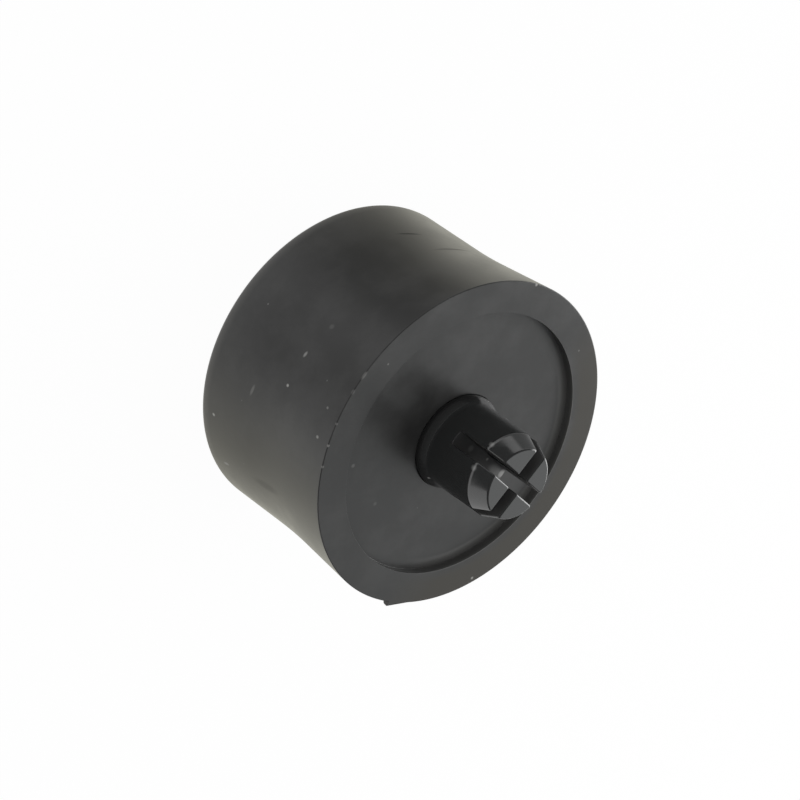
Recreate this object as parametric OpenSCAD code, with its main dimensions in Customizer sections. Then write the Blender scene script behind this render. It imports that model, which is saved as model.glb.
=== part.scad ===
// Round rubber equipment foot with a split push-in pin moulded into it.
// Millimetres. The foot stands on its floor face at z = 0, and the pin points up along +Z.
// X and Y run through the middles of opposite prongs of the pin.

/* [Rubber body] */
// Outer diameter of the rim that bears on the panel
rim_d = 19; // [17:0.1:24]
// Height from the floor to the rim
foot_h = 11; // [9.5:0.1:16]
// Diameter of the wall at the floor
floor_d = 18.35; // [16:0.05:24]
// Diameter where the drafted wall meets the flare
waist_d = 18.2; // [16:0.05:22]
// Height of that waist above the floor
waist_z = 5.8; // [4:0.1:7]
// Stretch on each side of the waist over which wall and flare blend
waist_blend = 1.4; // [0.4:0.1:2.2]
// Rounding of the floor edge
floor_edge_r = 0.35; // [0.1:0.05:1]

/* [Mounting recess] */
// Width of the rim round the shallow recess
rim_w = 1.8; // [0.8:0.1:3]
// Depth of the recess below the rim
recess_depth = 0.5; // [0.2:0.05:1.5]

/* [Push pin] */
// Diameter of the shank that goes into the panel hole
shank_d = 4.95; // [4:0.05:6]
// Reach of the tip above the rim
pin_reach = 4.65; // [3.8:0.05:8]
// Length of the lead-in taper
taper_len = 1.1; // [0.5:0.05:2]
// Radius that the taper takes off the shank
taper_step = 0.45; // [0.2:0.05:1]
// Rounding round the flat end of the tip
tip_edge_r = 0.14; // [0.05:0.01:0.3]
// Radius that the root adds to the shank
root_step = 0.25; // [0.1:0.05:0.8]
// Height of the straight root above the recess floor
root_h = 0.2; // [0.1:0.05:1]
// Height of the flare by which the root narrows to the shank
flare_h = 0.5; // [0.2:0.05:1]
// Rounding between the root and the flare
root_edge_r = 0.08; // [0.02:0.01:0.1]

/* [Cross slots] */
// Width of each slot
slot_w = 0.8; // [0.4:0.05:1.2]
// Depth of the slots from the tip
slot_depth = 3.2; // [1.5:0.1:3.4]
// Direction of the first slot from X
slot_angle = 45; // [0:1:89]

/* [Moulded-in anchor] */
// Diameter of the disc that holds the pin in the rubber
anchor_d = 9; // [8:0.1:12]
// Thickness of the disc
anchor_t = 1.5; // [0.8:0.1:3]
// Depth of rubber above the disc
anchor_depth = 3; // [1.5:0.1:4]
// Gap left all round between pin and rubber
pocket_gap = 0.02; // [0.01:0.01:0.1]

/* [Moulding flash] */
// Length of the flash along the rim
flash_len = 2.3; // [1:0.1:4]
// Thickness of the flash
flash_t = 0.3; // [0.1:0.05:0.6]
// Direction from the axis in which the flash runs out
flash_angle = 78; // [0:1:359]

/* [Hidden] */

round_fn = 96;
curve_steps = 10;
// Overrun of a cut past the face that it opens
cut = 0.2;
// How far the flash roots into the rim, and how far inside the rim its edge starts
flash_root = 0.3;
flash_sink = 0.05;

rim_r = rim_d / 2;
waist_r = waist_d / 2;
floor_r = floor_d / 2;
shank_r = shank_d / 2;
anchor_r = anchor_d / 2;
recess_r = rim_r - rim_w;
root_r = shank_r + root_step;
tip_r = shank_r - taper_step;

recess_z = foot_h - recess_depth;
root_z = recess_z + root_h;
shank_z = root_z + flare_h;
tip_z = foot_h + pin_reach;
taper_z = tip_z - taper_len;
slot_z = tip_z - slot_depth;
anchor_top_z = recess_z - anchor_depth;
anchor_z = anchor_top_z - anchor_t;

// Point at distance s from a, towards b
function toward(a, b, s) = a + (b - a) * s / norm(b - a);

// Smooth run of points from a to c that leaves a towards b and reaches c from b
function blend(a, b, c) = [
    for (i = [0 : curve_steps])
        let (t = i / curve_steps)
        (1 - t) * (1 - t) * a + 2 * t * (1 - t) * b + t * t * c
];

// Corner b of the outline a, b, c, rounded over the stretch s on each side
function rounded(a, b, c, s) = blend(toward(b, a, s), b, toward(b, c, s));

// Half section of the solid rubber: floor, drafted wall, waist, flare and rim
module body_outline() {
    centre = [0, 0];
    floor_edge = [floor_r, 0];
    waist = [waist_r, waist_z];
    rim_edge = [rim_r, foot_h];
    polygon(concat(
        [centre],
        rounded(centre, floor_edge, waist, floor_edge_r),
        rounded(floor_edge, waist, rim_edge, waist_blend),
        [rim_edge, [0, foot_h]]
    ));
}

// Half section of the pin: anchor disc, root with its flare, shank, taper and flat tip
module pin_outline() {
    root_foot = [root_r, anchor_top_z];
    root_edge = [root_r, root_z];
    shank_foot = [shank_r, shank_z];
    taper_foot = [shank_r, taper_z];
    tip_edge = [tip_r, tip_z];
    tip_centre = [0, tip_z];
    polygon(concat(
        [[0, anchor_z], [anchor_r, anchor_z], [anchor_r, anchor_top_z], root_foot],
        rounded(root_foot, root_edge, shank_foot, root_edge_r),
        [shank_foot, taper_foot],
        rounded(taper_foot, tip_edge, tip_centre, tip_edge_r),
        [tip_centre]
    ));
}

// Cavity that the rubber keeps round the anchor and the root
module pin_pocket() {
    translate([0, 0, anchor_z - pocket_gap])
        cylinder(r = anchor_r + pocket_gap, h = anchor_t + 2 * pocket_gap, $fn = round_fn);
    translate([0, 0, anchor_z])
        cylinder(r = root_r + pocket_gap, h = recess_z - anchor_z + cut, $fn = round_fn);
}

// Thin wedge of flash on the rim: it leaves the rim at a low angle and ends in a square step
module rim_flash() {
    end_angle = atan(flash_len / rim_r);
    inner_r = rim_r - flash_root;
    translate([0, 0, foot_h - flash_t])
        rotate(flash_angle)
            linear_extrude(flash_t)
                polygon([
                    [inner_r, 0],
                    [inner_r * cos(end_angle), -inner_r * sin(end_angle)],
                    [rim_r, -flash_len],
                    [rim_r - flash_sink, 0]
                ]);
}

// Slots that split the pin into four prongs
module cross_slots() {
    span = shank_d + 2 * cut;
    for (turn = [0, 90])
        rotate(slot_angle + turn)
            translate([-span / 2, -slot_w / 2, slot_z])
                cube([span, slot_w, slot_depth + cut]);
}

// Soft foot with its drafted wall, flared rim and shallow recess
module rubber_body() {
    color("#3d3e3c")
        difference() {
            union() {
                rotate_extrude($fn = round_fn) body_outline();
                rim_flash();
            }
            translate([0, 0, recess_z])
                cylinder(r = recess_r, h = recess_depth + cut, $fn = round_fn);
            pin_pocket();
        }
}

// Hard pin with four prongs, held in the rubber by its disc
module push_pin() {
    color("#161818")
        difference() {
            rotate_extrude($fn = round_fn) pin_outline();
            cross_slots();
        }
}

rubber_body();
push_pin();
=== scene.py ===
"""Round rubber equipment foot with a split push-in pin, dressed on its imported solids.

The foot stands on its floor face at z = 0 and its pin points up along +Z. Sizes are in
millimetres and become metres when a mesh is made. X and Y run through the middles of opposite
prongs of the pin.
"""

import logging
import math
from dataclasses import dataclass, field
from enum import Enum
from typing import Any, Optional, Sequence

import bmesh
import bpy
import numpy as np
from mathutils import Matrix, Vector


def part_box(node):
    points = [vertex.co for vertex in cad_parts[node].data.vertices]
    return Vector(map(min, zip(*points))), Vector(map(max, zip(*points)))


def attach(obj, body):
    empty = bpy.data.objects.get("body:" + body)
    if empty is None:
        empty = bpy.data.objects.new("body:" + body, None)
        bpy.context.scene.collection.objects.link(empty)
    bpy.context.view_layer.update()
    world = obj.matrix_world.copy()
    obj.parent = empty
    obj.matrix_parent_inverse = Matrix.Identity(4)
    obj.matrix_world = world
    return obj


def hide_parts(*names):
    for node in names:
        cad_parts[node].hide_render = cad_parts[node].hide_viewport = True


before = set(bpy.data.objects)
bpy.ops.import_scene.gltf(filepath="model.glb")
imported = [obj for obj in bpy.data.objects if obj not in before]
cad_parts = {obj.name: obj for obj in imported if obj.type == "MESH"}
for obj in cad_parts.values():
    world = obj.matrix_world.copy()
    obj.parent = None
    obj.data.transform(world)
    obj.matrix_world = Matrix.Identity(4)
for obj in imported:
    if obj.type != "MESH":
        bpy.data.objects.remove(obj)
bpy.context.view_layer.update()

LOG = logging.getLogger("rubber_foot")
MM = 0.001
QUARTER = 0.5 * math.pi
PHOTO_SIZE = 800.0
BODY = "root"

# Points closer than this are one point of a mesh, in metres
MERGE_DISTANCE = 2e-8
# Points of a half section closer than this are one point, in millimetres
SAME_POINT = 1e-6
# Faces that meet at more than this angle keep a crisp edge
CRISP_ANGLE = math.radians(38.0)
# A straight stretch of a half section has at least this many steps
FEWEST_STEPS = 4
# Shares of a mark's reach and of a speck's size over which they keep their full strength
MARK_CORE = 0.3
SPECK_CORE = 0.5
# How fine and how rough the noise of the blotches and of the grain is
CLOUD_NOISE = {"Detail": 5.0, "Roughness": 0.62}
GRAIN_NOISE = {"Detail": 3.0, "Roughness": 0.55}
# Vector operations that give one value
VECTOR_MEASURES = ("LENGTH", "DISTANCE", "DOT_PRODUCT")

Colour = tuple[float, float, float]
Stretch = tuple[float, float]
Socket = bpy.types.NodeSocket
WHITE: Colour = (1.0, 1.0, 1.0)


class CadNode(Enum):
    """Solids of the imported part."""

    RUBBER_BODY = "rubber_body"
    PUSH_PIN = "push_pin"


class Slot(Enum):
    """Names of the material slots."""

    RUBBER = "rubber"
    PIN = "pin_plastic"


@dataclass(frozen=True)
class Corner:
    """Corner of a half section: radius and height, and the stretch over which it is rounded."""

    r: float
    z: float
    ease: float = 0.0


def eased(count: int) -> np.ndarray:
    """Fractions from 0 to 1, closer together at both ends: half of one minus the cosine.

    Args:
        count: Number of steps.

    Returns:
        The fractions, both ends included.
    """
    return 0.5 - 0.5 * np.cos(np.linspace(0.0, math.pi, count + 1))


def straight_run(start: np.ndarray, end: np.ndarray, pitch: float) -> np.ndarray:
    """Points on a straight stretch, closer together at its ends.

    Args:
        start: First point.
        end: Last point.
        pitch: Usual distance between points.

    Returns:
        The points, both ends included.
    """
    count = max(FEWEST_STEPS, math.ceil(float(np.linalg.norm(end - start)) / pitch))
    return start + (end - start) * eased(count)[:, None]


def eased_corner(enter: np.ndarray, corner: np.ndarray, leave: np.ndarray, steps: int) -> np.ndarray:
    """Points of a rounded corner: a quadratic curve from enter to leave, drawn towards corner.

    Args:
        enter: Point where the rounding starts.
        corner: Sharp corner that the rounding replaces.
        leave: Point where the rounding ends.
        steps: Number of stretches.

    Returns:
        The points, both ends included.
    """
    t = np.linspace(0.0, 1.0, steps + 1)[:, None]
    return (1 - t) ** 2 * enter + 2 * t * (1 - t) * corner + t**2 * leave


def rounded_path(corners: Sequence[Corner], pitch: float, steps: int = 10) -> np.ndarray:
    """Half section through the corners: straight stretches joined by rounded corners.

    Args:
        corners: Corners in order.
        pitch: Usual distance between points on the straight stretches.
        steps: Number of stretches in each rounding.

    Returns:
        Array of radius and height, with no point twice in a row.
    """
    points = np.array([(corner.r, corner.z) for corner in corners])
    runs = []
    leave = points[0]
    for index in range(1, len(points) - 1):
        here = points[index]
        reach = corners[index].ease
        back = points[index - 1] - here
        ahead = points[index + 1] - here
        enter = here + back / np.linalg.norm(back) * reach
        runs.append(straight_run(leave, enter, pitch))
        leave = here + ahead / np.linalg.norm(ahead) * reach
        runs.append(eased_corner(enter, here, leave, steps))
    runs.append(straight_run(leave, points[-1], pitch))
    path = np.concatenate(runs)
    moved = np.linalg.norm(np.diff(path, axis=0), axis=1) > SAME_POINT
    return path[np.concatenate([[True], moved])]


def smooth_step(low: float, high: float, value: np.ndarray) -> np.ndarray:
    """Rises from 0 at low to 1 at high: three times the square less twice the cube.

    Args:
        low: Value at which the rise starts.
        high: Value at which it ends.
        value: Values to map.

    Returns:
        The mapped values.
    """
    t = np.clip((value - low) / (high - low), 0.0, 1.0)
    return t * t * (3.0 - 2.0 * t)


def turned(radius: np.ndarray, height: np.ndarray, angles: np.ndarray) -> np.ndarray:
    """Surface turned about Z: radius times cosine, radius times sine, height.

    Args:
        radius: Radius at each level, or at each level and direction.
        height: Height of each level.
        angles: Directions from X in radians.

    Returns:
        Grid of points, one row for each level.
    """
    wide = radius.reshape(len(height), -1) * np.ones_like(angles)
    tall = height[:, None] * np.ones_like(angles)
    return np.stack([wide * np.cos(angles), wide * np.sin(angles), tall], axis=-1)


def turn_about_z(grid: np.ndarray, angle: float) -> np.ndarray:
    """Turns a grid of points about Z.

    Args:
        grid: Points, with x, y and z on the last axis.
        angle: Angle in radians.

    Returns:
        The turned points.
    """
    cos, sin = math.cos(angle), math.sin(angle)
    x, y = grid[..., 0], grid[..., 1]
    return np.stack([cos * x - sin * y, sin * x + cos * y, grid[..., 2]], axis=-1)


def facing(azimuth: float, elevation: float) -> Vector:
    """Direction from the foot towards a viewer: azimuth 0 looks along +Y, from the front.

    Args:
        azimuth: Degrees round the foot.
        elevation: Degrees above the floor.

    Returns:
        Unit vector.
    """
    turn, rise = math.radians(azimuth), math.radians(elevation)
    return Vector((math.sin(turn) * math.cos(rise), -math.cos(turn) * math.cos(rise), math.sin(rise)))


def in_metres(ends: Stretch, unit: float = 1.0, start: float = 0.0) -> Stretch:
    """Turns the ends of a stretch into metres.

    Args:
        ends: Ends of the stretch in the unit, counted from the start.
        unit: The unit in millimetres.
        start: Where the stretch is counted from, in millimetres.

    Returns:
        The ends in metres.
    """
    return (start + ends[0] * unit) * MM, (start + ends[1] * unit) * MM


@dataclass
class Surface:
    """Grids of points gathered into one surface."""

    points: list[np.ndarray] = field(default_factory=list)
    quads: list[np.ndarray] = field(default_factory=list)
    count: int = 0

    def add_grid(self, grid: np.ndarray, closed: bool = False) -> None:
        """Adds a grid with a quad in each cell, facing along column direction times row direction.

        Args:
            grid: Points in millimetres, of shape rows, columns, 3.
            closed: Whether the last column joins the first.
        """
        rows, columns = grid.shape[:2]
        index = np.arange(rows * columns).reshape(rows, columns) + self.count
        if closed:
            index = np.concatenate([index, index[:, :1]], axis=1)
        cells = (index[:-1, :-1], index[:-1, 1:], index[1:, 1:], index[1:, :-1])
        self.points.append(grid.reshape(-1, 3))
        self.quads.append(np.stack(cells, axis=-1).reshape(-1, 4))
        self.count += rows * columns

    def to_object(self, name: str) -> bpy.types.Object:
        """Makes a smooth object at the origin, with equal points joined and crisp edges kept.

        Args:
            name: Name of the object and its mesh.

        Returns:
            The new object, linked to the scene.
        """
        mesh = bpy.data.meshes.new(name)
        points = np.concatenate(self.points) * MM
        mesh.from_pydata(points.tolist(), [], np.concatenate(self.quads).tolist())
        work = bmesh.new()
        work.from_mesh(mesh)
        bmesh.ops.remove_doubles(work, verts=work.verts, dist=MERGE_DISTANCE)
        work.to_mesh(mesh)
        work.free()
        mesh.polygons.foreach_set("use_smooth", np.ones(len(mesh.polygons), dtype=bool))
        mesh.set_sharp_from_angle(angle=CRISP_ANGLE)
        piece = bpy.data.objects.new(name, mesh)
        bpy.context.scene.collection.objects.link(piece)
        return piece


class Wiring:
    """Adds nodes to a node tree and joins their sockets."""

    def __init__(self, tree: bpy.types.NodeTree) -> None:
        """Keeps the tree of a material, a world or a group, which the nodes go to."""
        self.tree = tree

    def add(self, kind: str, inputs: Optional[dict[Any, Any]] = None, **settings: Any) -> bpy.types.Node:
        """Adds a node.

        Args:
            kind: Blender's name of the node type.
            inputs: Value or output socket for each input, by its name or number.
            settings: Properties of the node itself.

        Returns:
            The new node.
        """
        node = self.tree.nodes.new(kind)
        for name, value in settings.items():
            setattr(node, name, value)
        for key, value in (inputs or {}).items():
            self.feed(value, node.inputs[key])
        return node

    def feed(self, value: Any, socket: Socket) -> None:
        """Joins an output to an input, or sets the input to a plain value.

        Args:
            value: Output socket or plain value.
            socket: Input socket.
        """
        if isinstance(value, Socket):
            self.tree.links.new(value, socket)
        else:
            socket.default_value = value

    def math(self, operation: str, first: Any, second: Any = 0.0) -> Socket:
        """Adds a sum, product or the like of two values, and gives the socket of the result."""
        return self.add("ShaderNodeMath", {0: first, 1: second}, operation=operation).outputs[0]

    def mix(self, share: Any, first: Any, second: Any) -> Socket:
        """Mixes two colours, or two values, by a share.

        The mix node takes values at its inputs 2 and 3, and colours at 6 and 7.

        Args:
            share: Share of the second one.
            first: Colour or value at share 0.
            second: Colour or value at share 1.

        Returns:
            Socket of the mixed colour or value.
        """
        if isinstance(second, tuple):
            blend = {0: share, 6: rgba(first), 7: rgba(second)}
            return self.add("ShaderNodeMix", blend, data_type="RGBA").outputs[2]
        return self.add("ShaderNodeMix", {0: share, 2: first, 3: second}, data_type="FLOAT").outputs[0]

    def spread(self, value: Any, stretch: Sequence[Any], onto: Stretch = (0.0, 1.0)) -> Socket:
        """Maps one stretch of values smoothly onto another, and gives the socket of the result."""
        inputs = {0: value, 1: stretch[0], 2: stretch[1], 3: onto[0], 4: onto[1]}
        return self.add("ShaderNodeMapRange", inputs, interpolation_type="SMOOTHSTEP").outputs[0]

    def vector(self, operation: str, first: Any, second: Any = (0.0, 0.0, 0.0)) -> Socket:
        """Adds a vector sum, length or the like, and gives the socket of its vector or measure."""
        node = self.add("ShaderNodeVectorMath", {0: first, 1: second}, operation=operation)
        return node.outputs["Value" if operation in VECTOR_MEASURES else "Vector"]

    def group(self, tree: bpy.types.NodeTree, inputs: dict[str, Any]) -> Socket:
        """Adds a node group with its inputs by name, and gives the socket of its output."""
        return self.add("ShaderNodeGroup", inputs, node_tree=tree).outputs[0]

    def height(self, place: Socket) -> Socket:
        """Takes the height out of a place, and gives its socket."""
        return self.add("ShaderNodeSeparateXYZ", {0: place}).outputs[2]


def rgba(colour: Any) -> Any:
    """Gives a plain colour its fourth value, and leaves a socket as it is.

    Args:
        colour: Three values, or the socket of a colour.

    Returns:
        Four values, or the socket.
    """
    return (*colour, 1.0) if isinstance(colour, tuple) else colour


def new_group(name: str, values: Sequence[str], output: str) -> tuple[Wiring, Any, Any]:
    """Starts a shader node group that takes a place and some values and puts out one value.

    Args:
        name: Name of the group.
        values: Names of the inputs beside the place.
        output: Name of the output.

    Returns:
        The group's wiring, the sockets of its inputs and the socket of its output.
    """
    tree = bpy.data.node_groups.new(name, "ShaderNodeTree")
    tree.interface.new_socket(name="Vector", in_out="INPUT", socket_type="NodeSocketVector")
    for value in values:
        tree.interface.new_socket(name=value, in_out="INPUT", socket_type="NodeSocketFloat")
    tree.interface.new_socket(name=output, in_out="OUTPUT", socket_type="NodeSocketFloat")
    wiring = Wiring(tree)
    return wiring, wiring.add("NodeGroupInput").outputs, wiring.add("NodeGroupOutput").inputs[output]


def cloud_group() -> bpy.types.NodeTree:
    """Soft blotches: noise with fine detail, stretched between two levels.

    Returns:
        Group with the mask of the blotches.
    """
    wiring, given, mask = new_group("cloudy_blotches", ("Scale", "Low", "High"), "Mask")
    noise = {"Vector": given["Vector"], "Scale": given["Scale"], **CLOUD_NOISE}
    level = wiring.add("ShaderNodeTexNoise", noise).outputs["Fac"]
    wiring.feed(wiring.spread(level, (given["Low"], given["High"])), mask)
    return wiring.tree


def speck_group() -> bpy.types.NodeTree:
    """Scattered specks: a round spot in some of the cells of a cell pattern.

    Returns:
        Group with the mask of the specks.
    """
    wiring, given, mask = new_group("stray_specks", ("Scale", "Size", "Share"), "Mask")
    cells = wiring.add("ShaderNodeTexVoronoi", {"Vector": given["Vector"], "Scale": given["Scale"]})
    chance = wiring.add("ShaderNodeSeparateColor", {0: cells.outputs["Color"]}).outputs[0]
    chosen = wiring.math("LESS_THAN", chance, given["Share"])
    core = wiring.math("MULTIPLY", given["Size"], SPECK_CORE)
    spot = wiring.spread(cells.outputs["Distance"], (core, given["Size"]), (1.0, 0.0))
    wiring.feed(wiring.math("MULTIPLY", spot, chosen), mask)
    return wiring.tree


def grain_group() -> bpy.types.NodeTree:
    """Fine grain of a moulded surface: small noise.

    Returns:
        Group with the height of the grain.
    """
    wiring, given, height = new_group("moulded_grain", ("Scale",), "Height")
    noise = {"Vector": given["Vector"], "Scale": given["Scale"], **GRAIN_NOISE}
    wiring.feed(wiring.add("ShaderNodeTexNoise", noise).outputs["Fac"], height)
    return wiring.tree


@dataclass(frozen=True)
class Mark:
    """Soft spot on the foot, for a stray mark or a painted glint: it may be long and lie at a slant.

    The angle is in degrees from X. The reach is how far the spot goes out from the axis, round
    the foot and up, and the slant turns it about the line out from the axis.
    """

    angle: float
    radius: float
    height: float
    reach: tuple[float, float, float]
    strength: float
    slant: float = 0.0


def mark_group(name: str, marks: Sequence[Mark]) -> bpy.types.NodeTree:
    """Soft spots in chosen places: each fades from its middle out, and the strongest one shows.

    Args:
        name: Name of the group.
        marks: The marks.

    Returns:
        Group with the mask of the marks.
    """
    wiring, given, mask = new_group(name, (), "Mask")
    strongest: Any = 0.0
    for mark in marks:
        turn = math.radians(mark.angle)
        middle = Vector((mark.radius * math.cos(turn), mark.radius * math.sin(turn), mark.height))
        spot = {
            "Vector": given["Vector"],
            "Location": middle * MM,
            "Rotation": (math.radians(mark.slant), 0.0, turn),
            "Scale": Vector(mark.reach) * MM,
        }
        local = wiring.add("ShaderNodeMapping", spot, vector_type="TEXTURE").outputs["Vector"]
        away = wiring.vector("LENGTH", local)
        faded = wiring.spread(away, (MARK_CORE, 1.0), (mark.strength, 0.0))
        strongest = wiring.math("MAXIMUM", strongest, faded)
    wiring.feed(strongest, mask)
    return wiring.tree


DUST_MARKS = (
    Mark(244.4, 9.46, 11.0, (0.15, 0.12, 0.15), 0.7),
    Mark(100.8, 9.21, 11.0, (0.12, 0.12, 0.3), 0.55),
    Mark(335.8, 9.47, 11.0, (0.13, 0.1, 0.13), 0.2),
    Mark(343.3, 9.47, 11.0, (0.13, 0.1, 0.13), 0.35),
    Mark(350.6, 9.47, 11.0, (0.13, 0.1, 0.13), 0.25),
    Mark(324.6, 9.47, 11.0, (0.16, 0.2, 0.16), 0.12),
    Mark(318.5, 9.47, 11.0, (0.16, 0.32, 0.1), 0.2),
    Mark(335.7, 9.2, 6.4, (0.8, 0.11, 0.13), 0.85),
    Mark(2.4, 9.2, 1.2, (0.8, 0.12, 0.15), 1.0),
    Mark(333.4, 9.3, 9.9, (0.8, 0.1, 0.12), 0.3),
    Mark(343.2, 9.3, 10.0, (0.8, 0.12, 0.15), 0.5),
    Mark(323.9, 9.2, 6.5, (0.8, 0.24, 0.13), 0.5, -10.0),
    Mark(311.7, 9.2, 6.9, (0.8, 0.2, 0.22), 0.09),
    Mark(344.6, 9.2, 4.0, (0.8, 0.45, 0.14), 0.2, -10.0),
    Mark(21.8, 9.2, 1.7, (0.8, 0.14, 0.4), 0.6, 20.0),
    Mark(355.0, 6.95, 10.5, (0.16, 0.16, 0.3), 0.16),
    Mark(23.4, 5.7, 10.5, (0.16, 0.16, 0.3), 0.08),
)

DARK_MARKS = (
    Mark(263.0, 9.2, 3.85, (0.8, 0.95, 0.12), 0.65, -18.0),
    Mark(255.8, 9.2, 6.1, (0.8, 1.6, 0.13), 0.4, -5.0),
    Mark(16.9, 9.2, 5.6, (0.8, 0.4, 1.6), 0.22, 12.0),
)

# Painted glints on the pin: light spots at its slot edges, slot floor and root, where they catch the
# light
GLINT_MARKS = (
    Mark(137.0, 2.3, 12.45, (0.3, 0.36, 0.12), 0.75),
    Mark(135.0, 1.75, 12.45, (0.8, 0.44, 0.1), 0.25),
    Mark(312.0, 0.98, 12.45, (0.28, 0.26, 0.1), 0.14),
    Mark(152.0, 0.66, 12.45, (0.12, 0.12, 0.1), 0.4),
    Mark(297.0, 2.34, 14.5, (0.24, 0.24, 0.24), 0.55),
    Mark(333.0, 2.34, 14.5, (0.24, 0.24, 0.24), 0.55),
    Mark(228.5, 2.71, 10.72, (0.12, 0.11, 0.12), 0.6),
    Mark(32.0, 2.54, 11.06, (0.12, 0.11, 0.12), 0.5),
)


@dataclass(frozen=True)
class Effects:
    """Shader effects that the finishes share."""

    clouds: bpy.types.NodeTree = field(default_factory=cloud_group)
    specks: bpy.types.NodeTree = field(default_factory=speck_group)
    grain: bpy.types.NodeTree = field(default_factory=grain_group)
    dust_marks: bpy.types.NodeTree = field(default_factory=lambda: mark_group("dust_marks", DUST_MARKS))
    dark_marks: bpy.types.NodeTree = field(default_factory=lambda: mark_group("dark_marks", DARK_MARKS))
    glint_marks: bpy.types.NodeTree = field(default_factory=lambda: mark_group("glint_marks", GLINT_MARKS))


def new_material(name: str) -> tuple[bpy.types.Material, Wiring, bpy.types.Node, Socket]:
    """Starts a material.

    Args:
        name: Name of the material.

    Returns:
        The material, its wiring, its shader and the socket of the place in the foot's frame.
    """
    material = bpy.data.materials.new(name)
    material.use_nodes = True
    wiring = Wiring(material.node_tree)
    shader = material.node_tree.nodes["Principled BSDF"]
    return material, wiring, shader, wiring.add("ShaderNodeTexCoord").outputs["Object"]


@dataclass(frozen=True)
class RubberFinish:
    """Matt black moulded rubber with grain, haze and dust, painted light in the recess corner and on the
    rim top, and a painted highlight along the floor edge.
    """

    base: Colour = (0.025, 0.025, 0.0247)
    hazy: Colour = (0.038, 0.038, 0.0375)
    # Painted highlight: lighter tone along the floor edge
    painted_edge_highlight: Colour = (0.1, 0.099, 0.094)
    # Painted light: a lighter tone that lifts the shaded corner of the recess, its wall and the ring of
    # floor beside it, on the far side
    corner: Colour = (0.1, 0.1, 0.096)
    # Painted warm cast on the top of the rim, on the far side
    rim: Colour = (0.033, 0.029, 0.021)
    dust: Colour = (0.45, 0.45, 0.43)
    dark: Colour = (0.014, 0.014, 0.014)
    specular: float = 0.5
    smooth_roughness: float = 0.29
    hazy_roughness: float = 0.35
    dust_roughness: float = 0.8
    dark_roughness: float = 0.75
    # Side of the foot that gets the painted light in the recess corner and on the rim
    painted_side_azimuth: float = 228.5
    painted_side_share: Stretch = (0.2, 0.75)
    ring_inset: float = 0.3
    ring_width: Stretch = (0.18, 0.42)
    ring_strength: float = 0.7
    lip_width: Stretch = (0.02, 0.04)
    lip_drop: Stretch = (0.05, 0.2)
    wall_strength: float = 0.5
    rim_drop: Stretch = (0.04, 0.12)
    rim_fade: Stretch = (0.0, 0.7)
    edge_highlight_height: Stretch = (0.1, 0.85)
    haze_scale: float = 420.0
    haze_levels: Stretch = (0.35, 0.7)
    speck_scale: float = 900.0
    speck_size: float = 0.07
    speck_share: float = 0.07
    speck_strength: float = 0.22
    grain_scale: float = 5200.0
    grain_depth: float = 0.01
    grain_strength: float = 0.12

    def face_masks(self, wiring: Wiring, place: Socket, body: "RubberBody") -> list[Socket]:
        """Marks where light is painted on the far side of the foot: the shaded corner of the recess and
        the top of the rim.

        The side is told by the distance along a direction, the ring of painted light on the recess floor
        and the recess wall by radius, and the lip of that wall and the top of the rim by the drop below
        the rim.

        Args:
            wiring: Wiring of the material.
            place: Socket of the place in the foot's frame.
            body: Body that has the recess.

        Returns:
            Sockets of the masks of the painted corner light and of the painted warm cast on the rim.
        """
        flat = wiring.vector("MULTIPLY", place, (1.0, 1.0, 0.0))
        radius = wiring.vector("LENGTH", flat)
        drop = wiring.math("SUBTRACT", body.foot_h * MM, wiring.height(place))
        ahead = wiring.vector("DOT_PRODUCT", place, facing(self.painted_side_azimuth, 0.0))
        side = wiring.spread(ahead, in_metres(self.painted_side_share, body.recess_r))
        ring_r = (body.recess_r - self.ring_inset) * MM
        from_ring = wiring.math("ABSOLUTE", wiring.math("SUBTRACT", radius, ring_r))
        ring = wiring.spread(from_ring, in_metres(self.ring_width), (self.ring_strength, 0.0))
        from_wall = wiring.math("ABSOLUTE", wiring.math("SUBTRACT", radius, body.recess_r * MM))
        wall = wiring.spread(from_wall, in_metres(self.lip_width), (1.0, 0.0))
        lip = wiring.spread(drop, in_metres(self.lip_drop), (1.0, self.wall_strength))
        corner = wiring.math("MAXIMUM", wiring.math("MULTIPLY", wall, lip), ring)
        top = wiring.spread(drop, in_metres(self.rim_drop), (1.0, 0.0))
        outer = wiring.spread(radius, in_metres(self.rim_fade, start=body.recess_r))
        rim = wiring.math("MULTIPLY", outer, top)
        return [wiring.math("MULTIPLY", mask, side) for mask in (corner, rim)]

    def material(self, effects: Effects, body: "RubberBody") -> bpy.types.Material:
        """Builds the material.

        Args:
            effects: Shared shader effects.
            body: Body whose recess corner and rim top get painted light.

        Returns:
            The material.
        """
        material, wiring, shader, place = new_material("moulded_rubber")
        corner, rim = self.face_masks(wiring, place, body)
        low, high = self.haze_levels
        blotches = {"Vector": place, "Scale": self.haze_scale, "Low": low, "High": high}
        haze = wiring.group(effects.clouds, blotches)
        # Mask of the painted highlight, strongest at the floor edge
        edge = wiring.spread(wiring.height(place), in_metres(self.edge_highlight_height), (1.0, 0.0))
        scatter = {"Scale": self.speck_scale, "Size": self.speck_size, "Share": self.speck_share}
        specks = wiring.group(effects.specks, {"Vector": place, **scatter})
        faint = wiring.math("MULTIPLY", specks, self.speck_strength)
        dust = wiring.math("MAXIMUM", faint, wiring.group(effects.dust_marks, {"Vector": place}))
        dark = wiring.group(effects.dark_marks, {"Vector": place})
        tone = wiring.mix(haze, self.base, self.hazy)
        tone = wiring.mix(dark, tone, self.dark)
        # Painted light: the shaded recess corner is lifted and the rim's top tinted warm, on the far side
        tone = wiring.mix(corner, tone, self.corner)
        tone = wiring.mix(rim, tone, self.rim)
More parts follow.
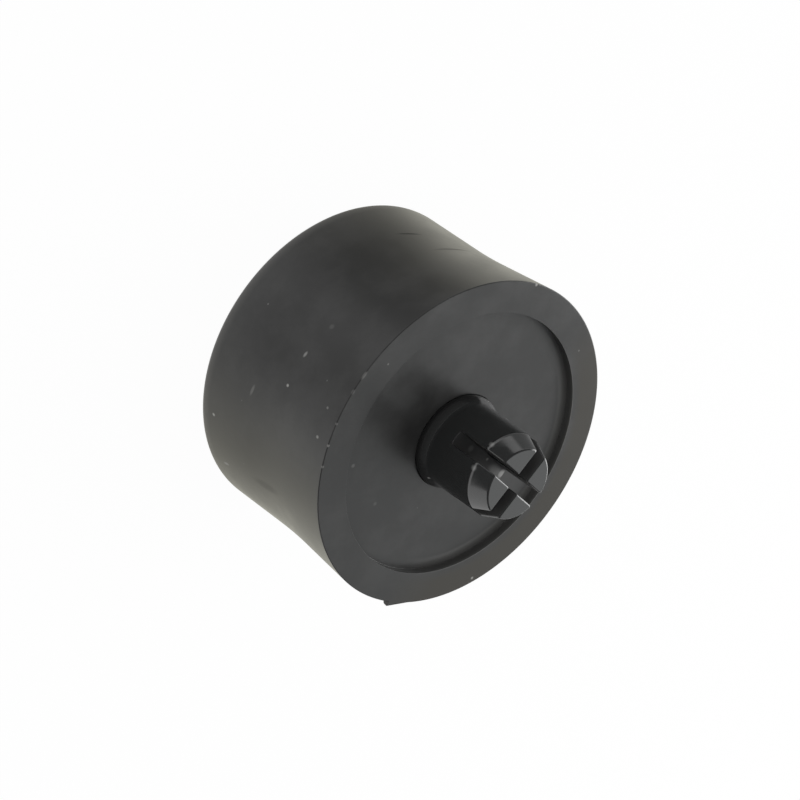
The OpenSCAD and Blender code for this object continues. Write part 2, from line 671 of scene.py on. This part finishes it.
        # Painted highlight along the floor edge
        tone = wiring.mix(edge, tone, self.painted_edge_highlight)
        wiring.feed(wiring.mix(dust, tone, self.dust), shader.inputs["Base Color"])
        rough = wiring.mix(haze, self.smooth_roughness, self.hazy_roughness)
        rough = wiring.mix(dark, rough, self.dark_roughness)
        wiring.feed(wiring.mix(dust, rough, self.dust_roughness), shader.inputs["Roughness"])
        relief = wiring.group(effects.grain, {"Vector": place, "Scale": self.grain_scale})
        bump = {"Strength": self.grain_strength, "Distance": self.grain_depth * MM, "Height": relief}
        wiring.feed(wiring.add("ShaderNodeBump", bump).outputs["Normal"], shader.inputs["Normal"])
        shader.inputs["Specular IOR Level"].default_value = self.specular
        return material


@dataclass(frozen=True)
class PinFinish:
    """Smooth glossy black moulded plastic, dull in the slots, with painted light and painted shade in the
    slots, painted shade at the root and painted glints.
    """

    base: Colour = (0.025, 0.026, 0.026)
    # Painted light that lifts the shaded walls and floor of the slots
    painted_slot_light: Colour = (0.038, 0.038, 0.037)
    # Painted shade near the floor of the slots
    painted_slot_shade: Colour = (0.016, 0.016, 0.016)
    # Painted shade on the root and its flare
    painted_root_shade: Colour = (0.014, 0.014, 0.014)
    # Painted glints, placed by the glint marks
    painted_glint: Colour = (0.42, 0.42, 0.41)
    specular: float = 1.0
    ior: float = 1.5
    clean_roughness: float = 0.08
    smudged_roughness: float = 0.16
    dull_roughness: float = 0.7
    root_roughness: float = 0.18
    smudge_scale: float = 700.0
    smudge_levels: Stretch = (0.4, 0.7)
    slot_edge: Stretch = (0.005, 0.03)
    deep_height: Stretch = (0.4, 1.4)

    def slot_mask(self, wiring: Wiring, place: Socket, pin: "PushPin") -> Socket:
        """Marks the walls and the floor of the slots, by the distance from the slots' middle planes.

        Args:
            wiring: Wiring of the material.
            place: Socket of the place in the foot's frame.
            pin: Pin that has the slots.

        Returns:
            Socket of the mask.
        """
        turn = {"Vector": place, "Angle": -math.radians(pin.slot_angle)}
        along = wiring.add("ShaderNodeVectorRotate", turn, rotation_type="Z_AXIS").outputs[0]
        off_planes = wiring.vector("ABSOLUTE", along)
        axes = wiring.add("ShaderNodeSeparateXYZ", {0: off_planes}).outputs
        middle = wiring.math("MINIMUM", axes[0], axes[1])
        inside = wiring.spread(middle, in_metres(self.slot_edge, start=0.5 * pin.slot_w), (1.0, 0.0))
        under = wiring.math("SUBTRACT", pin.slot_z * MM, axes[2])
        above = wiring.spread(under, in_metres(self.slot_edge), (1.0, 0.0))
        return wiring.math("MULTIPLY", inside, above)

    def material(self, effects: Effects, pin: "PushPin") -> bpy.types.Material:
        """Builds the material.

        Args:
            effects: Shared shader effects.
            pin: Pin whose slots are dull and get painted light and shade, and whose root gets painted
                shade.

        Returns:
            The material.
        """
        material, wiring, shader, place = new_material("pin_plastic_black")
        in_slot = self.slot_mask(wiring, place, pin)
        height = wiring.height(place)
        # Mask of the root, for painted shade and a rougher finish
        root = wiring.spread(height, (pin.root_z * MM, pin.shank_z * MM), (1.0, 0.0))
        low, high = self.smudge_levels
        blotches = {"Vector": place, "Scale": self.smudge_scale, "Low": low, "High": high}
        smudges = wiring.group(effects.clouds, blotches)
        # Mask of the painted shade, darker near the floor of the slots
        near_floor = wiring.spread(height, in_metres(self.deep_height, start=pin.slot_z), (1.0, 0.0))
        deep = wiring.math("MULTIPLY", near_floor, in_slot)
        glints = wiring.group(effects.glint_marks, {"Vector": place})
        # Painted shade on the root
        tone = wiring.mix(root, self.base, self.painted_root_shade)
        # Painted light in the slots, which are also dull
        tone = wiring.mix(in_slot, tone, self.painted_slot_light)
        # Painted shade near the slots' floor
        tone = wiring.mix(deep, tone, self.painted_slot_shade)
        # Painted glints at the glint marks
        wiring.feed(wiring.mix(glints, tone, self.painted_glint), shader.inputs["Base Color"])
        rough = wiring.mix(smudges, self.clean_roughness, self.smudged_roughness)
        rough = wiring.mix(root, rough, self.root_roughness)
        wiring.feed(wiring.mix(in_slot, rough, self.dull_roughness), shader.inputs["Roughness"])
        shader.inputs["Specular IOR Level"].default_value = self.specular
        shader.inputs["IOR"].default_value = self.ior
        return material


@dataclass
class RubberBody:
    """Soft foot: drafted wall, waist, flared rim, shallow recess and the pocket round the pin."""

    rim_r: float
    foot_h: float
    floor_r: float = 9.175
    waist_r: float = 9.1
    waist_z: float = 5.8
    waist_ease: float = 1.4
    floor_ease: float = 0.35
    rim_ease: float = 0.06
    rim_w: float = 1.8
    recess_depth: float = 0.5
    recess_ease: float = 0.004
    recess_foot: float = 0.02
    pocket_gap: float = 0.02
    flash_len: float = 2.3
    flash_t: float = 0.3
    flash_angle: float = 78.0
    flash_sink: float = 0.05
    flash_ease: float = 0.08
    flash_root: Stretch = (0.5, 0.5 / 3.0)
    flash_steps: tuple[float, ...] = (-0.06, 0.06, 0.3)
    pitch: float = 0.22
    around: int = 400

    @property
    def recess_z(self) -> float:
        """Height of the recess floor."""
        return self.foot_h - self.recess_depth

    @property
    def recess_r(self) -> float:
        """Radius of the recess."""
        return self.rim_r - self.rim_w

    def corners(self, pin: "PushPin") -> list[Corner]:
        """Half section from the floor's middle out, up, in over the rim and down the pocket.

        Args:
            pin: Pin whose root and disc the pocket holds.

        Returns:
            The corners in order.
        """
        gap = self.pocket_gap
        return [
            Corner(0.0, 0.0),
            Corner(self.floor_r, 0.0, self.floor_ease),
            Corner(self.waist_r, self.waist_z, self.waist_ease),
            Corner(self.rim_r, self.foot_h, self.rim_ease),
            Corner(self.recess_r, self.foot_h, self.recess_ease),
            Corner(self.recess_r, self.recess_z, self.recess_foot),
            Corner(pin.root_r + gap, self.recess_z, gap),
            Corner(pin.root_r + gap, pin.anchor_top_z + gap),
            Corner(pin.anchor_r + gap, pin.anchor_top_z + gap),
            Corner(pin.anchor_r + gap, pin.anchor_z - gap),
            Corner(0.0, pin.anchor_z - gap),
        ]

    def flash(self, path: np.ndarray, angles: np.ndarray) -> np.ndarray:
        """How far the moulding flash stands out: a straight edge from inside the rim, ending in a step.

        Args:
            path: Radius and height of the half section.
            angles: Directions round the axis.

        Returns:
            Extra radius for each point of the half section and each direction.
        """
        along = math.radians(self.flash_angle) - angles
        tilt = self.flash_sink / self.flash_len
        edge = (self.rim_r - self.flash_sink) / (np.cos(along) - tilt * np.sin(along))
        on_edge = (along > 0.0) & (along < math.atan2(self.flash_len, self.rim_r))
        proud = np.where(on_edge, np.maximum(edge - self.rim_r, 0.0), 0.0)
        low = self.foot_h - self.flash_t
        start, full = self.flash_root
        outer = smooth_step(self.rim_r - start, self.rim_r - full, path[:, 0])
        upper = smooth_step(low - self.flash_ease, low, path[:, 1])
        return (outer * upper)[:, None] * proud

    def directions(self) -> np.ndarray:
        """Directions round the axis, close together at the flash's square end.

        Returns:
            Angles from X in radians, rising.
        """
        end = math.radians(self.flash_angle) - math.atan2(self.flash_len, self.rim_r)
        even = np.linspace(0.0, 2.0 * math.pi, self.around, endpoint=False)
        close = end + np.radians(np.array(self.flash_steps))
        return np.sort(np.concatenate([even, close]))

    def build(self, pin: "PushPin") -> bpy.types.Object:
        """Builds the body as one closed surface turned about Z.

        Args:
            pin: Pin whose root and disc the pocket holds.

        Returns:
            The body's object.
        """
        path = rounded_path(self.corners(pin), self.pitch)
        angles = self.directions()
        radius = path[:, :1] + self.flash(path, angles)
        surface = Surface()
        surface.add_grid(turned(radius, path[:, 1], angles), closed=True)
        return surface.to_object("rubber_foot_body")


@dataclass
class PushPin:
    """Hard pin: disc and root in the rubber, flare, shank and four prongs parted by crossed slots."""

    tip_z: float
    anchor_z: float
    anchor_r: float
    recess_z: float
    anchor_t: float = 1.5
    anchor_ease: float = 0.05
    shank_r: float = 2.475
    root_step: float = 0.25
    root_h: float = 0.2
    flare_h: float = 0.5
    root_ease: float = 0.08
    flare_ease: float = 0.15
    taper_len: float = 1.1
    taper_step: float = 0.45
    taper_ease: float = 0.1
    tip_ease: float = 0.08
    slot_w: float = 0.8
    slot_depth: float = 3.2
    slot_angle: float = 45.0
    slot_ease: float = 0.1
    slot_lip: float = 0.05
    pitch: float = 0.3
    fine_pitch: float = 0.12
    prong_arc: int = 44
    slot_arc: int = 10
    wall_run: int = 20
    edge_steps: int = 6
    tip_steps: int = 14
    end_middle: float = 0.55
    end_shrink: tuple[float, ...] = (0.985, 0.9, 0.6, 0.3, 0.0)

    @property
    def root_r(self) -> float:
        """Radius of the root."""
        return self.shank_r + self.root_step

    @property
    def root_z(self) -> float:
        """Height at which the flare starts."""
        return self.recess_z + self.root_h

    @property
    def shank_z(self) -> float:
        """Height at which the straight shank starts."""
        return self.root_z + self.flare_h

    @property
    def anchor_top_z(self) -> float:
        """Height of the disc's upper face."""
        return self.anchor_z + self.anchor_t

    @property
    def slot_z(self) -> float:
        """Height of the slots' floor."""
        return self.tip_z - self.slot_depth

    @property
    def part_angle(self) -> float:
        """Half the angle that a slot takes out of the shank's circle."""
        return math.asin(0.5 * self.slot_w / self.shank_r)

    def lip(self, angles: np.ndarray) -> np.ndarray:
        """How far the slot floor's outer edge is rounded in: a parabola that ends at the slot's sides."""
        return self.slot_lip * np.clip(1.0 - (angles / self.part_angle) ** 2, 0.0, None)

    def shank_grid(self) -> np.ndarray:
        """Disc, root, flare and whole shank, turned about Z up to the slots' floor.

        Under the floor of each slot the last stretch curves in by a quarter round.

        Returns:
            Grid of points, one row for each level.
        """
        corners = [
            Corner(0.0, self.anchor_z),
            Corner(self.anchor_r, self.anchor_z, self.anchor_ease),
            Corner(self.anchor_r, self.anchor_top_z, self.anchor_ease),
            Corner(self.root_r, self.anchor_top_z),
            Corner(self.root_r, self.root_z, self.root_ease),
            Corner(self.shank_r, self.shank_z, self.flare_ease),
            Corner(self.shank_r, self.slot_z - self.slot_lip),
            Corner(self.shank_r, self.slot_z),
        ]
        path = rounded_path(corners, self.pitch)
        part = self.part_angle
        slot = np.linspace(-part, part, self.slot_arc, endpoint=False)
        prong = np.linspace(part, QUARTER - part, self.prong_arc, endpoint=False)
        quarter = np.concatenate([slot, prong])
        rise = np.clip((path[:, 1] - self.slot_z) / self.slot_lip + 1.0, 0.0, 1.0)
        bend = 1.0 - np.sqrt(1.0 - rise**2)
        radius = path[:, :1] - bend[:, None] * np.tile(self.lip(quarter), 4)
        angles = (quarter + QUARTER * np.arange(4)[:, None]).ravel()
        return turned(radius, path[:, 1], angles)

    def prong_levels(self) -> dict[str, np.ndarray]:
        """Outer radius, half slot, edge rounding, height and shrink at each level of a prong.

        The shank rises straight to the taper, the taper runs in to the rounded end, and the flat
        end closes in on one point. Towards the end the slots widen by a quarter round.

        Returns:
            Arrays by name, one value for each level.
        """
        tip_r = self.shank_r - self.taper_step
        corners = [
            Corner(self.shank_r, self.slot_z),
            Corner(self.shank_r, self.tip_z - self.taper_len, self.taper_ease),
            Corner(tip_r, self.tip_z, self.tip_ease),
            Corner(0.0, self.tip_z),
        ]
        path = rounded_path(corners, self.fine_pitch, self.tip_steps)
        path = path[: int(np.argmax(path[:, 1] > self.tip_z - SAME_POINT)) + 1]
        radius, height = path[:, 0], path[:, 1]
        sunk = np.clip(height - (self.tip_z - self.slot_ease), 0.0, self.slot_ease)
        half = 0.5 * self.slot_w + self.slot_ease - np.sqrt(self.slot_ease**2 - sunk**2)
        rise = smooth_step(0.0, 2.0 * self.slot_ease, height - self.slot_z)
        shrink = np.array(self.end_shrink)
        last = np.ones_like(shrink)
        return {
            "radius": np.concatenate([radius, radius[-1] * last]),
            "half": np.concatenate([half, half[-1] * last]),
            "ease": np.concatenate([self.slot_ease * rise, self.slot_ease * last]),
            "height": np.concatenate([height, height[-1] * last]),
            "shrink": np.concatenate([np.ones_like(radius), shrink]),
        }

    def prong_grid(self) -> np.ndarray:
        """One prong between two slots: its rounded outline carried up through the levels.

        The outline runs out along one slot wall, round the edge, along the shank's arc, round the
        other edge, in along the other wall and round the inner edge.

        Returns:
            Grid of points, one row for each level.
        """
        levels = {name: values[:, None] for name, values in self.prong_levels().items()}
        radius, half, ease = levels["radius"], levels["half"], levels["ease"]
        inset = half + ease
        reach = np.sqrt((radius - ease) ** 2 - inset**2)
        lean = np.arctan2(inset, reach)
        run = eased(self.wall_run)[None, :-1]
        bend = np.linspace(0.0, 1.0, self.edge_steps, endpoint=False)[None, :]
        sweep = np.linspace(0.0, 1.0, self.prong_arc, endpoint=False)[None, :]
        edge_turn = -QUARTER + (QUARTER + lean) * bend
        arc_turn = lean + (QUARTER - 2.0 * lean) * sweep
        far_turn = QUARTER - lean + (QUARTER + lean) * bend
        inner_turn = 2.0 * QUARTER + QUARTER * bend
        span = reach - inset
        x_runs = [
            inset + span * run,
            reach + ease * np.cos(edge_turn),
            radius * np.cos(arc_turn),
            inset + ease * np.cos(far_turn),
            half + 0.0 * run,
            inset + ease * np.cos(inner_turn),
        ]
        y_runs = [
            half + 0.0 * run,
            inset + ease * np.sin(edge_turn),
            radius * np.sin(arc_turn),
            reach + ease * np.sin(far_turn),
            reach - span * run,
            inset + ease * np.sin(inner_turn),
        ]
        middle = self.end_middle * radius
        x = middle + (np.concatenate(x_runs, axis=1) - middle) * levels["shrink"]
        y = middle + (np.concatenate(y_runs, axis=1) - middle) * levels["shrink"]
        return np.stack([x, y, levels["height"] + 0.0 * x], axis=-1)

    def slot_floor_grids(self) -> list[np.ndarray]:
        """Floor of the crossed slots: a middle square and the arm along +X before it is turned.

        Returns:
            The square and the arm.
        """
        part = np.linspace(-self.part_angle, self.part_angle, self.slot_arc + 1)
        across = self.shank_r * np.sin(part)
        side_x, side_y = np.meshgrid(across, across)
        square = np.stack([side_x, side_y, np.full_like(side_x, self.slot_z)], axis=-1)
        outer = self.shank_r - self.lip(part)
        share = eased(self.wall_run)[None, :]
        half = 0.5 * self.slot_w
        arm_x = half + ((outer * np.cos(part))[:, None] - half) * share
        arm_y = across[:, None] + ((outer * np.sin(part)) - across)[:, None] * share
        arm = np.stack([arm_x, arm_y, np.full_like(arm_x, self.slot_z)], axis=-1)
        return [square, arm]

    def build(self) -> bpy.types.Object:
        """Builds the pin as one closed surface, with its slots turned to their direction.

        Returns:
            The pin's object.
        """
        surface = Surface()
        start = math.radians(self.slot_angle)
        square, arm = self.slot_floor_grids()
        prong = self.prong_grid()
        surface.add_grid(turn_about_z(self.shank_grid(), start), closed=True)
        surface.add_grid(turn_about_z(square, start))
        for quarter in range(4):
            angle = start + QUARTER * quarter
            surface.add_grid(turn_about_z(prong, angle), closed=True)
            surface.add_grid(turn_about_z(arm, angle))
        return surface.to_object("rubber_foot_pin")


@dataclass(frozen=True)
class SoftBox:
    """Round area lamp that looks at the middle of the foot's rim."""

    name: str
    azimuth: float
    elevation: float
    size: float
    radiance: float
    colour: Colour = WHITE
    distance: float = 200.0

    def build(self, aim: Vector) -> bpy.types.Object:
        """Builds the lamp: its power is its radiance times pi times its area.

        Args:
            aim: Point in metres that the lamp looks at.

        Returns:
            The lamp's object.
        """
        lamp = bpy.data.lights.new(self.name, "AREA")
        lamp.shape = "DISK"
        lamp.size = self.size * MM
        lamp.color = self.colour
        lamp.energy = self.radiance * math.pi * math.pi * (0.5 * lamp.size) ** 2
        back = facing(self.azimuth, self.elevation)
        piece = bpy.data.objects.new(self.name, lamp)
        piece.visible_camera = False
        piece.location = aim + back * self.distance * MM
        piece.rotation_euler = back.to_track_quat("Z", "Y").to_euler()
        bpy.context.scene.collection.objects.link(piece)
        return piece


SOFT_BOXES = (
    SoftBox("back_softbox", 232.0, 39.0, 200.0, 0.75, (0.98, 1.0, 1.0)),
    SoftBox("far_softbox", 262.0, 12.0, 200.0, 3.4),
)


@dataclass(frozen=True)
class PhotoCamera:
    """Camera of the photograph: a long lens, rolled, with the rim's middle off the frame's middle."""

    azimuth: float = 48.5
    elevation: float = 41.25
    roll: float = 125.33
    focal_px: float = 3000.0
    rim_px: tuple[float, float] = (462.0, 444.8)
    depth: float = 158.77
    sensor: float = 36.0
    clip_start: float = 5.0

    def build(self, rim_centre: Vector) -> bpy.types.Object:
        """Builds the camera and makes it the scene's.

        Args:
            rim_centre: Middle of the rim's plane in metres.

        Returns:
            The camera's object.
        """
        data = bpy.data.cameras.new("photo_camera")
        data.sensor_width = self.sensor
        data.lens = self.sensor * self.focal_px / PHOTO_SIZE
        data.clip_start = self.clip_start * MM
        turn, roll = math.radians(self.azimuth), math.radians(self.roll)
        back = facing(self.azimuth, self.elevation)
        level = Vector((math.cos(turn), math.sin(turn), 0.0))
        upright = back.cross(level)
        right = math.cos(roll) * level + math.sin(roll) * upright
        up = math.cos(roll) * upright - math.sin(roll) * level
        depth = self.depth * MM
        off_x = (self.rim_px[0] - 0.5 * PHOTO_SIZE) / self.focal_px * depth
        off_y = (self.rim_px[1] - 0.5 * PHOTO_SIZE) / self.focal_px * depth
        place = Matrix((right, up, back)).transposed().to_4x4()
        place.translation = rim_centre - off_x * right + off_y * up + depth * back
        piece = bpy.data.objects.new("photo_camera", data)
        piece.matrix_world = place
        bpy.context.scene.collection.objects.link(piece)
        bpy.context.scene.camera = piece
        return piece


@dataclass(frozen=True)
class Shade:
    """Round soft shade on the floor: its middle, its level there and the stretch where it ends."""

    azimuth: float
    distance: float
    level: float
    stretch: Stretch

    def at(self, wiring: Wiring, place: Socket, outside: float) -> Socket:
        """Level at a place: the shade's own near its middle, and another one outside it.

        Args:
            wiring: Wiring of the floor's material.
            place: Socket of the place.
            outside: Level outside the shade.

        Returns:
            Socket of the level.
        """
        middle = facing(self.azimuth, 0.0) * self.distance * MM
        away = wiring.vector("DISTANCE", place, middle)
        return wiring.spread(away, in_metres(self.stretch), (self.level, outside))


# Painted shade on the floor's glow, seen only in reflections
FLOOR_SHADES = (
    Shade(0.0, 16.5, 0.24, (3.0, 12.5)),
    Shade(330.0, 20.0, 0.9, (2.0, 9.0)),
    Shade(58.0, 20.5, 0.5, (4.0, 13.0)),
    Shade(305.0, 90.0, 0.28, (40.0, 82.0)),
    Shade(125.0, 11.0, 0.8, (1.0, 7.0)),
)

# Painted warm tint on the floor's glow, seen only in reflections
WARM_SHADES = (
    Shade(150.0, 12.0, 1.0, (6.0, 17.0)),
    Shade(310.0, 13.0, 0.95, (7.0, 16.0)),
)


@dataclass(frozen=True)
class Studio:
    """Plain white floor, in reflections softly shaded and warm in places, and dim surroundings."""

    floor_size: float = 4000.0
    floor_cells: int = 8
    floor_white: float = 0.86
    glow_share: float = 0.97
    fill_level: float = 0.66
    fill_gloss: float = 0.08
    warm_tint: Colour = (1.0, 0.98, 0.85)

    def mirrored_level(self, wiring: Wiring) -> Socket:
        """How bright the floor is in reflections, by place.

        Args:
            wiring: Wiring of the floor's material.

        Returns:
            Socket of the level.
        """
        place = wiring.add("ShaderNodeTexCoord").outputs["Object"]
        level: Any = 1.0
        for shade in FLOOR_SHADES:
            level = wiring.math("MULTIPLY", level, shade.at(wiring, place, 1.0))
        return level

    def mirrored_colour(self, wiring: Wiring) -> Socket:
        """Colour of the floor in reflections, by place: warm on two sides of the foot.

        Args:
            wiring: Wiring of the floor's material.

        Returns:
            Socket of the colour.
        """
        place = wiring.add("ShaderNodeTexCoord").outputs["Object"]
        warmth: Any = 0.0
        for shade in WARM_SHADES:
            warmth = wiring.math("MAXIMUM", warmth, shade.at(wiring, place, 0.0))
        return wiring.mix(warmth, WHITE, self.warm_tint)

    def floor(self) -> bpy.types.Object:
        """Builds the floor, which shows white and keeps the foot's shadow.

        Returns:
            The floor's object.
        """
        half = 0.5 * self.floor_size
        steps = np.linspace(-half, half, self.floor_cells + 1)
        x, y = np.meshgrid(steps, steps)
        surface = Surface()
        surface.add_grid(np.stack([x, y, np.zeros_like(x)], axis=-1))
        piece = surface.to_object("studio_floor")
        material = bpy.data.materials.new("studio_white")
        material.use_nodes = True
        material.node_tree.nodes.clear()
        wiring = Wiring(material.node_tree)
        white = self.floor_white
        matt = wiring.add("ShaderNodeBsdfDiffuse", {"Color": (white, white, white, 1.0)})
        path = wiring.add("ShaderNodeLightPath").outputs
        level = wiring.mix(path["Is Camera Ray"], self.mirrored_level(wiring), 1.0)
        tint = wiring.mix(path["Is Camera Ray"], self.mirrored_colour(wiring), WHITE)
        glow = wiring.add("ShaderNodeEmission", {"Color": tint, "Strength": level})
        mirrored = wiring.math("MAXIMUM", path["Is Glossy Ray"], path["Is Transmission Ray"])
        seen = wiring.math("MAXIMUM", path["Is Camera Ray"], mirrored)
        share = wiring.math("MULTIPLY", seen, self.glow_share)
        both = wiring.add("ShaderNodeMixShader", {0: share, 1: matt.outputs[0], 2: glow.outputs[0]})
        wiring.add("ShaderNodeOutputMaterial", {"Surface": both.outputs[0]})
        piece.data.materials.append(material)
        return piece

    def surroundings(self) -> None:
        """Builds the world: white where the camera sees it, an even fill, and dim in reflections."""
        world = bpy.data.worlds.new("studio_surroundings")
        world.use_nodes = True
        bpy.context.scene.world = world
        world.node_tree.nodes.clear()
        wiring = Wiring(world.node_tree)
        path = wiring.add("ShaderNodeLightPath").outputs
        fill = wiring.mix(path["Is Glossy Ray"], self.fill_level, self.fill_gloss)
        level = wiring.mix(path["Is Camera Ray"], fill, 1.0)
        light = wiring.add("ShaderNodeBackground", {"Color": rgba(WHITE), "Strength": level})
        wiring.add("ShaderNodeOutputWorld", {"Surface": light.outputs[0]})


def dress(piece: bpy.types.Object, material: bpy.types.Material, node: CadNode) -> None:
    """Gives a piece its material, hides the solid that it stands for and names that solid in the log.

    Args:
        piece: Piece of the foot.
        material: Finish of the piece.
        node: CAD node that the piece replaces.
    """
    piece.data.materials.append(material)
    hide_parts(node.value)
    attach(piece, BODY)
    LOG.info("%s: %d faces, stands for %s", piece.name, len(piece.data.polygons), node.value)


def main() -> None:
    """Builds the foot, the studio and the camera."""
    logging.basicConfig(level=logging.INFO, format="%(name)s: %(message)s")
    bpy.context.scene.view_settings.view_transform = "Standard"
    body_low, body_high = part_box(CadNode.RUBBER_BODY.value)
    pin_low, pin_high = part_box(CadNode.PUSH_PIN.value)
    body = RubberBody(rim_r=-body_low.x / MM, foot_h=body_high.z / MM)
    pin = PushPin(
        tip_z=pin_high.z / MM, anchor_z=pin_low.z / MM, anchor_r=pin_high.x / MM, recess_z=body.recess_z
    )
    effects = Effects()
    dress(body.build(pin), RubberFinish().material(effects, body), CadNode.RUBBER_BODY)
    dress(pin.build(), PinFinish().material(effects, pin), CadNode.PUSH_PIN)
    rim_centre = Vector((0.0, 0.0, body.foot_h * MM))
    studio = Studio()
    studio.floor()
    studio.surroundings()
    for softbox in SOFT_BOXES:
        softbox.build(rim_centre)
    PhotoCamera().build(rim_centre)


if __name__ == "__main__":
    main()
